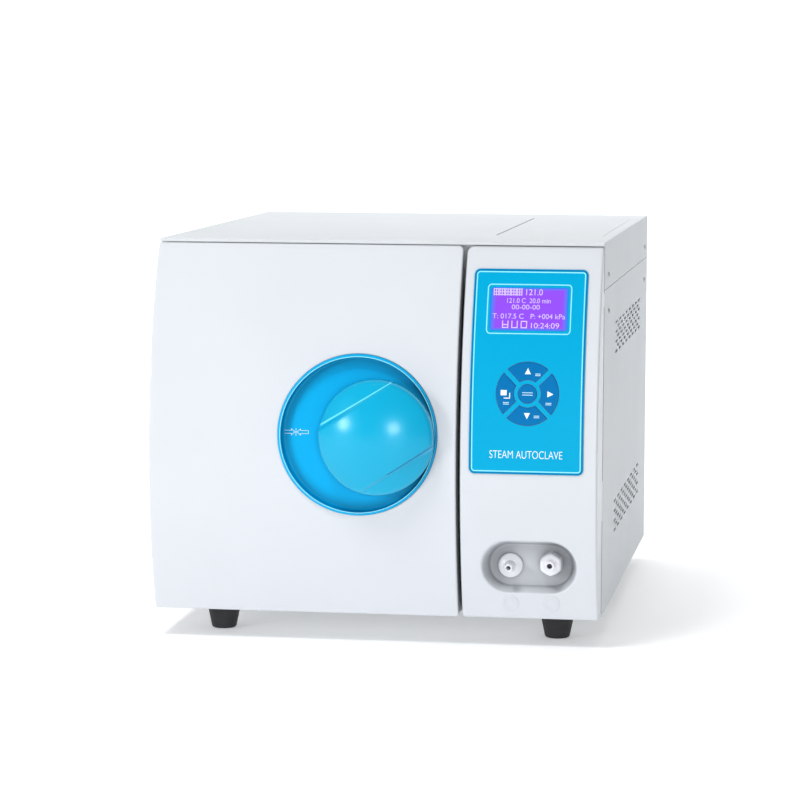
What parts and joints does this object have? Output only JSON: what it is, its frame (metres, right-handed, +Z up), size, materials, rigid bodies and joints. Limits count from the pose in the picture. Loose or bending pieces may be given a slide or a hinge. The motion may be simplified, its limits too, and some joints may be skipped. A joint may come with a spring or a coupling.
{
  "type": "benchtop autoclave",
  "caption": "Front-loading benchtop steam autoclave: bulged door with turn-knob latch, keypad column, round chamber with trays, water tank.",
  "frame": {"origin": "on the bench, under the middle of the whole machine's box", "axes": "+Z up, -Y out of the front door, +X to the right of someone facing the door; Y is the longest side"},
  "size_m": [0.4412, 0.66, 0.392],
  "materials": {
    "body_paint": "fine textured powder coat",
    "front_paint": "smooth satin paint",
    "knob_blue": "glossy moulded",
    "dish_blue": "glossy moulded",
    "film_blue": "satin printed film",
    "key_blue": "satin",
    "lcd_glass": "clear polished",
    "dark_plastic": "fine texture",
    "foot_rubber": "matte",
    "silicone": "satin",
    "stainless": "brushed",
    "zinc_steel": "zinc plated",
    "brass": "machined",
    "chrome": "polished",
    "white_plastic": "satin moulded",
    "board_green": "solder mask",
    "wrap_grey": "glass-fibre felt",
    "aluminium": "satin"
  },
  "bodies": {
    "casing": {"top_cover": "body_paint", "left_side_panel": "body_paint", "right_side_panel": "body_paint", "rear_panel": "body_paint", "base_plate": "zinc_steel", "front_bulkhead": "body_paint", "case_screws": "chrome", "foot_front_left": "foot_rubber", "foot_front_right": "foot_rubber", "foot_rear_left": "foot_rubber", "foot_rear_right": "foot_rubber", "control_column": "front_paint", "hose_recess": "front_paint", "control_overlay": "film_blue", "lcd_window": "lcd_glass", "lcd_module": "board_green", "control_board": "board_green", "drain_nozzle": "white_plastic", "fill_nozzle": "white_plastic", "hinge_arms": "zinc_steel", "bolt_keeper": "zinc_steel", "chamber": "stainless", "heater_band": "aluminium", "insulation": "wrap_grey", "tray_rack": "stainless", "tray_lower": "stainless", "tray_upper": "stainless", "water_tank": "white_plastic", "water_pump": "dark_plastic", "solenoid_valves": "brass", "power_board": "board_green", "steam_pipes": "stainless", "condenser": "aluminium", "fan_frame": "dark_plastic", "power_inlet": "dark_plastic", "safety_valve": "brass", "exhaust_barb": "brass"},
    "door": {"door_shell": "front_paint", "door_back_plate": "zinc_steel", "door_disc": "stainless", "door_seal": "silicone", "hinge_pins": "chrome", "hinge_leaves": "zinc_steel", "knob_bezel": "dish_blue", "spindle_bush": "brass", "latch_frame": "zinc_steel"},
    "knob": {"door_knob": "knob_blue", "knob_spindle": "chrome", "lock_sector": "zinc_steel"},
    "bolt": {"lock_bolt": "stainless"},
    "lid": {"tank_lid": "body_paint"},
    "float": {"tank_float": "dark_plastic"},
    "up_key": {"key_up": "key_blue"},
    "down_key": {"key_down": "key_blue"},
    "left_key": {"key_left": "key_blue"},
    "right_key": {"key_right": "key_blue"},
    "enter_key": {"key_enter": "key_blue"},
    "fan": {"fan_rotor": "dark_plastic"},
    "relief_ring": {"safety_ring": "chrome"},
    "rocker": {"switch_rocker": "dark_plastic"}
  },
  "joints": [
    {"name": "door_hinge", "type": "hinge", "parent": "casing", "child": "door", "pos_m": [-0.208, -0.256, 0.206], "axis": [0, 0, -1], "range_deg": [0, 100]},
    {"name": "knob_turn", "type": "hinge", "parent": "door", "child": "knob", "pos_m": [0.0068, -0.275, 0.2065], "axis": [0, 1, 0], "range_deg": [0, 33.5]},
    {"name": "bolt_slide", "type": "slide", "parent": "door", "child": "bolt", "axis": [1, 0, 0], "range_m": [0, 0.0142]},
    {"name": "lid_lift", "type": "slide", "parent": "casing", "child": "lid", "axis": [0, 0, 1], "range_m": [0, 0.06]},
    {"name": "float_rise", "type": "slide", "parent": "casing", "child": "float", "axis": [0, 0, 1], "range_m": [0, 0.12]},
    {"name": "fan_spin", "type": "hinge", "parent": "casing", "child": "fan", "pos_m": [-0.08, 0.286, 0.146], "axis": [0, 1, 0], "continuous": true},
    {"name": "ring_pull", "type": "slide", "parent": "casing", "child": "relief_ring", "axis": [0, 1, 0], "range_m": [0, 0.004], "stiffness_N_per_m": 800},
    {"name": "switch_rock", "type": "hinge", "parent": "casing", "child": "rocker", "pos_m": [0.15, 0.3026, 0.131], "axis": [0, 0, 1], "range_deg": [0, 25]},
    {"name": "press_up", "type": "slide", "parent": "casing", "child": "up_key", "axis": [0, 0.986, -0.1668], "range_m": [0, 0.0005], "stiffness_N_per_m": 500},
    {"name": "press_down", "type": "slide", "parent": "casing", "child": "down_key", "axis": [0, 0.986, -0.1668], "range_m": [0, 0.0005], "stiffness_N_per_m": 500},
    {"name": "press_left", "type": "slide", "parent": "casing", "child": "left_key", "axis": [0, 0.986, -0.1668], "range_m": [0, 0.0005], "stiffness_N_per_m": 500},
    {"name": "press_right", "type": "slide", "parent": "casing", "child": "right_key", "axis": [0, 0.986, -0.1668], "range_m": [0, 0.0005], "stiffness_N_per_m": 500},
    {"name": "press_enter", "type": "slide", "parent": "casing", "child": "enter_key", "axis": [0, 0.986, -0.1668], "range_m": [0, 0.0005], "stiffness_N_per_m": 500}
  ],
  "couplings": [
    {"joint": "bolt_slide", "follows": "knob_turn", "m_per_rad": 0.024}
  ]
}
